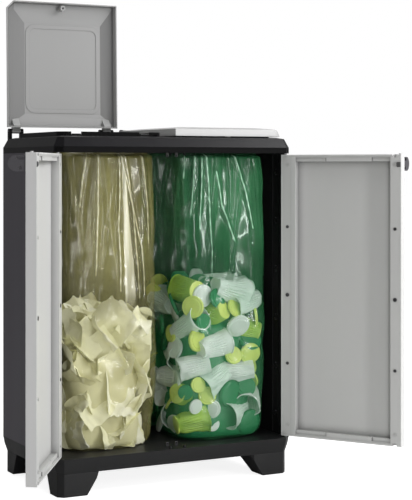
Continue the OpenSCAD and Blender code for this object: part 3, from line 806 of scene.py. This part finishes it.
def paper_heap():
    top = 0.430
    bx = inside_box(-1, -0.009)
    cx, cy = (bx[0] + bx[1]) / 2, (bx[2] + bx[3]) / 2
    groups = {0: ([], []), 1: ([], []), 2: ([], [])}
    r = random.Random(77)

    def put(c, n, size, seed, folds, tilt):
        pts, faces = paper_sheet(size, seed, folds)
        d = (n + Vector((r.uniform(-tilt, tilt), r.uniform(-tilt, tilt), r.uniform(-tilt, tilt)))).normalized()
        rot = Vector((0, 0, 1)).rotation_difference(d).to_matrix() @ Matrix.Rotation(r.uniform(0, math.tau), 3, "Z")
        vs, fs = groups[r.choice((0, 0, 1, 1, 2))]
        b = len(vs)
        pts = [c + rot @ p for p in pts]
        # moved in until it fits, and only then trimmed to the sack
        over = max((q - clamp_to_bag(q, bx)).dot(n) for q in pts)
        shift = n * min(0.022, max(0.0, over))
        vs.extend(clamp_to_bag(q - shift, bx) for q in pts)
        fs.extend([tuple(b + s for s in f) for f in faces])

    k = 0
    z = bx[4] + 0.030
    while z < top - 0.01:
        count = 11
        for i in range(count):
            t = (i + r.uniform(-0.3, 0.3)) / count + k * 0.043
            x, y, nx, ny = rrect_point((bx[1] - bx[0]) * 1000, (bx[3] - bx[2]) * 1000, 55, t)
            inset = r.uniform(12, 40)
            c = Vector((cx + (x - nx * inset) * M, cy + (y - ny * inset) * M, z + r.uniform(-0.018, 0.018)))
            put(c, Vector((nx, ny, 0)), r.uniform(0.085, 0.150), 1000 + k * 50 + i, r.choice((0, 1, 1, 2)), 0.55)
        z += 0.052
        k += 1
    for i in range(22):
        c = Vector((cx + r.uniform(-0.10, 0.10), cy + r.uniform(-0.10, 0.10), top + r.uniform(-0.045, -0.005)))
        put(c, Vector((0, -0.25, 1)).normalized(), r.uniform(0.10, 0.15), 5000 + i, 1, 0.6)
    first = None
    for g, (vs, fs) in groups.items():
        me = mesh_from("paper", vs, fs, smooth=True)
        o = new_object("crumpled_paper_" + "abc"[g], me, PAPER[g])
        s = o.modifiers.new("thick", "SOLIDIFY")
        s.thickness = 0.0006
        s.offset = 0
        bake_modifiers(o)
        sharp_by_angle(o.data, 35)
        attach(o, "cabinet")
        first = first or o
    # filler volume inside the heap: it stands for more sheets inside, and its tan tone, darker than most sheets, is
    # painted shade for the depth between them
    core = heap_core(-1, top * 1000 - 20, PAPER[2], "crumpled_paper_core", 2.2)
    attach(core, "cabinet")
    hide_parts("paper_waste")


paper_heap()

# ---------------------------------------------------------------- right bag: cups, bottles, caps


def plastic_item(name, col, rough=0.32):
    m = Mat(name)
    t = m.noise(24, 3, 0.5)
    m.set(Base_Color=m.ramp(t, [(0.3, tuple(c * 0.88 for c in col)), (0.7, col)]))
    m.set(Roughness=m.maprange(t, 0.2, 0.8, rough, rough + 0.12))
    m.p.inputs["Specular IOR Level"].default_value = 0.5
    m.bump([(m.noise(120, 3, 0.6), 0.15, 0.0006)])
    return m.m


CUPS = {
    "mint": plastic_item("mint_cup", (0.86, 0.97, 0.89)),
    "pale": plastic_item("pale_cup", (0.92, 0.97, 0.93)),
    "lime": plastic_item("lime_cup", (0.50, 0.72, 0.10)),
    "yellow": plastic_item("lime_disc", (0.84, 0.96, 0.22)),
    "green": plastic_item("green_cap", (0.02, 0.24, 0.09)),
}


def lathe(profile, nu, ribs=0, rib=0.0, r0=0.0, r1=1.0, crush=0.0, seed=0.0):
    """Turned thin-walled shape. profile is [(radius, height)], ribbed between heights r0 and r1."""
    vs, fs = [], []
    for rr, h in profile:
        for i in range(nu):
            a = math.tau * i / nu
            q = rr
            if ribs and r0 <= h <= r1:
                q += rib * math.cos(a * ribs)
            k = 1 + crush * noise.noise(Vector((math.cos(a) * 1.3, math.sin(a) * 1.3, h * 22 + seed)))
            vs.append(Vector((q * k * math.cos(a), q * k * math.sin(a), h)))
    for j in range(len(profile) - 1):
        for i in range(nu):
            a, b = j * nu + i, j * nu + (i + 1) % nu
            fs.append((a, b, b + nu, a + nu))
    return vs, fs


def cup(r, seed):
    h = r.uniform(0.075, 0.105)
    a, b = r.uniform(0.021, 0.026), r.uniform(0.031, 0.038)
    n = 14
    prof = [(0.0005, 0.003), (a * 0.85, 0.003), (a, 0.0)]
    prof += [(a + (b - a) * k / n, h * k / n) for k in range(1, n + 1)]
    prof += [(b + 0.0022, h), (b + 0.0022, h - 0.0022), (b - 0.0004, h - 0.001)]
    prof += [(a + (b - a) * k / n - 0.0007, h * k / n) for k in range(n - 1, 0, -1)]
    prof += [(0.0005, 0.0040)]
    return lathe(prof, 64, 32, 0.0009, h * 0.12, h * 0.80, r.choice((0.0, 0.18, 0.32, 0.45)), seed)


def cap(r, seed):
    R = r.uniform(0.020, 0.034)
    h = R * 0.28
    prof = [(0.0004, h), (R * 0.72, h), (R * 0.76, h - 0.0012), (R * 0.94, h - 0.0012), (R, h - 0.003), (R, 0), (R * 0.93, 0), (R * 0.92, h - 0.004), (0.0004, h - 0.004)]
    return lathe(prof, 56, 56, 0.0004, 0.001, h - 0.0035, 0, seed)


def bottle(r, seed):
    R, L = r.uniform(0.020, 0.028), r.uniform(0.10, 0.14)
    prof = [(0.0004, 0.0)] + [(R * math.sin(t * math.pi / 2) , R * 0.35 * (1 - math.cos(t * math.pi / 2))) for t in (0.3, 0.6, 0.85, 1.0)]
    prof += [(R, L * k / 10) for k in range(3, 8)]
    prof += [(R * 0.9, L * 0.76), (R * 0.62, L * 0.84), (R * 0.42, L * 0.89), (R * 0.42, L * 0.94), (R * 0.48, L * 0.945), (R * 0.48, L), (0.0004, L)]
    return lathe(prof, 56, 18, 0.0005, L * 0.3, L * 0.7, r.choice((0.0, 0.15)), seed)


def lid_dome(r, seed):
    R = r.uniform(0.030, 0.040)
    prof = [(0.0004, R * 0.30)] + [(R * math.sin(t), R * 0.30 * math.cos(t) ** 0.7) for t in (0.3, 0.6, 0.9, 1.1, 1.3, 1.45)]
    prof += [(R, 0.0), (R * 1.06, 0.0), (R * 1.06, 0.003), (R * 1.03, 0.003)]
    return lathe(prof, 56, 0, 0, 0, 0, r.choice((0.0, 0.2)), seed)


def cup_heap():
    top = 0.520
    bx = inside_box(1, -0.008)
    cx, cy = (bx[0] + bx[1]) / 2, (bx[2] + bx[3]) / 2
    r = random.Random(903)
    groups = {k: ([], []) for k in CUPS}
    placed = []
    made = 0
    tries = 0

    def add(g, vs, fs):
        gv, gf = groups[g]
        b = len(gv)
        gv.extend(vs)
        gf.extend([tuple(b + s for s in f) for f in fs])

    while tries < 9000 and made < 260:
        tries += 1
        t = r.random()
        x, y, nx, ny = rrect_point((bx[1] - bx[0]) * 1000, (bx[3] - bx[2]) * 1000, 55, t)
        zz = r.uniform(bx[4] + 0.028, top - 0.03)
        over_top = r.random() < 0.14
        kind = r.choices(("cup", "cup2", "lime", "cap", "bottle", "dome"), (32, 22, 15, 14, 5, 14))[0]
        rad = {"cup": 0.036, "cup2": 0.036, "lime": 0.036, "cap": 0.024, "bottle": 0.036, "dome": 0.030}[kind]
        inset = rad * 1000 * r.uniform(0.62, 1.35)
        if over_top:
            c = Vector((cx + r.uniform(-0.09, 0.09), cy + r.uniform(-0.09, 0.09), top - r.uniform(0.02, 0.05)))
        else:
            c = Vector((cx + (x - nx * inset) * M, cy + (y - ny * inset) * M, zz))
        if any((c - q).length < (rad + s) * 0.80 for q, s in placed):
            continue
        disc = None
        if kind in ("cup", "cup2"):
            vs, fs = cup(r, made * 1.7)
            g = "mint" if kind == "cup" else "pale"
        elif kind == "lime":
            vs, fs = cup(r, made * 1.7)
            g = "lime"
        elif kind == "cap":
            vs, fs = cap(r, made)
            g = r.choice(("green", "green", "pale", "yellow"))
        elif kind == "bottle":
            vs, fs = bottle(r, made)
            g = r.choice(("yellow", "mint"))
        else:
            vs, fs = lid_dome(r, made)
            g = r.choice(("pale", "pale", "green"))
        mid = sum(vs, Vector()) / len(vs)
        n = Vector((nx, ny, 0))
        tang = Vector((-ny, nx, 0))
        if kind in ("cap", "dome"):
            d = (n + Vector((r.uniform(-0.5, 0.5), r.uniform(-0.5, 0.5), r.uniform(-0.5, 0.5)))).normalized()
        elif kind == "lime":
            # base towards the film, a little to one side
            d = (-n * r.uniform(0.5, 0.9) + tang * r.uniform(-0.9, 0.9) + Vector((0, 0, r.uniform(-0.3, 0.4)))).normalized()
        else:
            d = (tang * r.choice((-1, 1)) + n * r.uniform(-0.7, 0.7) + Vector((0, 0, r.uniform(-0.6, 0.6)))).normalized()
        rot = Vector((0, 0, 1)).rotation_difference(d).to_matrix()
        vs2 = [c + rot @ (v - mid) for v in vs]
        out = max((q - clamp_to_bag(q, bx)).length for q in vs2)
        if out > 0.020:
            continue
        push = -n * out * 0.95
        vs2 = [clamp_to_bag(q + push, bx) for q in vs2]
        placed.append((c + push, rad))
        made += 1
        add(g, vs2, fs)
        if kind == "lime":
            # bright disc in the cup's base
            base = [v for v in vs if v.z < 0.0045]
            R = max(math.hypot(v.x, v.y) for v in base)
            prof = [(0.0004, -0.0012), (R * 0.90, -0.0012), (R * 0.97, -0.0004), (R * 0.97, 0.0022), (0.0004, 0.0022)]
            dv, df = lathe(prof, 48)
            add("yellow", [clamp_to_bag(c + push + rot @ (v - mid), bx) for v in dv], df)
        elif kind in ("cup", "cup2") and r.random() < 0.45:
            # printed-looking round patch on the wall, as a thin disc
            h = r.uniform(0.35, 0.6)
            top_z = max(v.z for v in vs)
            R = 0.5 * (max(math.hypot(v.x, v.y) for v in vs) + 0.024)
            a0 = r.uniform(0, math.tau)
            dv, df = [], []
            pr = r.uniform(0.011, 0.016)
            for ring in range(5):
                for i in range(24):
                    a = math.tau * i / 24
                    q = pr * ring / 4
                    aa = a0 + q * math.cos(a) / R
                    zz2 = top_z * h + q * math.sin(a)
                    k2 = (0.024 + (R * 2 - 0.024 - 0.024) * zz2 / top_z) + 0.0016
                    dv.append(Vector((k2 * math.cos(aa), k2 * math.sin(aa), zz2)))
            for ring in range(4):
                for i in range(24):
                    df.append((ring * 24 + i, ring * 24 + (i + 1) % 24, ring * 24 + 24 + (i + 1) % 24, ring * 24 + 24 + i))
            add("green", [clamp_to_bag(c + push + rot @ (v - mid), bx) for v in dv], df)
    print("waste pieces", made)
    first = None
    for g, (vs, fs) in groups.items():
        me = mesh_from("cups", vs, fs)
        sharp_by_angle(me, 40)
        o = new_object("waste_" + g, me, CUPS[g])
        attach(o, "cabinet")
        first = first or o
    # filler volume inside the heap in the dark green cap plastic: it stands for more pieces inside, and its dark tone
    # is painted shade for the gaps between them
    core = heap_core(1, 495, CUPS["green"], "waste_core", 5.5)
    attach(core, "cabinet")
    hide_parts("cup_waste")


cup_heap()

# ---------------------------------------------------------------- floor, light
me = bpy.data.meshes.new("floor")
me.from_pydata([(-30, -30, 0), (30, -30, 0), (30, 30, 0), (-30, 30, 0)], [], [(0, 1, 2, 3)])
fm = Mat("pale_floor")
fm.set(Base_Color=fm.ramp(fm.noise(3, 3), [(0.3, (0.60, 0.60, 0.60)), (0.7, (0.62, 0.62, 0.62))]), Roughness=0.8)
fe = fm.nt.nodes.new("ShaderNodeEmission")
fe.inputs[1].default_value = 0.86
fl = fm.nt.nodes.new("ShaderNodeLightPath")
fz = fm.nt.nodes.new("ShaderNodeEmission")
fz.inputs[1].default_value = 0.0
fx = fm.nt.nodes.new("ShaderNodeMixShader")
fa = fm.nt.nodes.new("ShaderNodeAddShader")
fm.link(fl.outputs["Is Camera Ray"], fx.inputs[0])
fm.link(fz.outputs[0], fx.inputs[1])
fm.link(fe.outputs[0], fx.inputs[2])
fm.link(fm.p.outputs[0], fa.inputs[0])
fm.link(fx.outputs[0], fa.inputs[1])
fm.link(fa.outputs[0], fm.out.inputs[0])
floor = new_object("floor", me, fm.m)
floor.location.z = -0.0005

world = bpy.data.worlds.new("studio")
scene.world = world
world.use_nodes = True
wn = world.node_tree
wn.nodes.clear()
wo = wn.nodes.new("ShaderNodeOutputWorld")
bg1 = wn.nodes.new("ShaderNodeBackground")
bg2 = wn.nodes.new("ShaderNodeBackground")
bg2.inputs[0].default_value = (1, 1, 1, 1)
bg2.inputs[1].default_value = 1.0
wt = wn.nodes.new("ShaderNodeTexCoord")
ws = wn.nodes.new("ShaderNodeSeparateXYZ")
wr = wn.nodes.new("ShaderNodeMapRange")
for i, v in enumerate((-0.1, 0.9, WORLD_LOW, WORLD_HIGH)):
    wr.inputs[i + 1].default_value = v
lp = wn.nodes.new("ShaderNodeLightPath")
mx = wn.nodes.new("ShaderNodeMixShader")
wn.links.new(wt.outputs["Generated"], ws.inputs[0])
wn.links.new(ws.outputs[2], wr.inputs[0])
wn.links.new(wr.outputs[0], bg1.inputs[1])
wn.links.new(lp.outputs["Is Camera Ray"], mx.inputs[0])
wn.links.new(bg1.outputs[0], mx.inputs[1])
wn.links.new(bg2.outputs[0], mx.inputs[2])
wn.links.new(mx.outputs[0], wo.inputs[0])


def area(name, loc, target, size, power, size_y=None):
    d = bpy.data.lights.new(name, "AREA")
    d.energy = power
    d.shape = "RECTANGLE"
    d.size = size
    d.size_y = size_y or size
    o = bpy.data.objects.new(name, d)
    scene.collection.objects.link(o)
    o.location = loc
    o.rotation_euler = (Vector(target) - Vector(loc)).to_track_quat("-Z", "Y").to_euler()
    return o


area("key", (2.35, -1.9, 2.6), (0, -0.1, 0.5), 1.5, 78, 1.5)
area("strip_right", (1.3, -2.8, 0.95), (0, 0, 0.5), 0.22, 30, 1.7)
area("strip_left", (-0.55, -3.3, 1.0), (0, 0, 0.5), 0.16, 17, 1.6)
area("top", (0.1, -0.1, 3.2), (0, 0, 0.6), 2.0, 38)
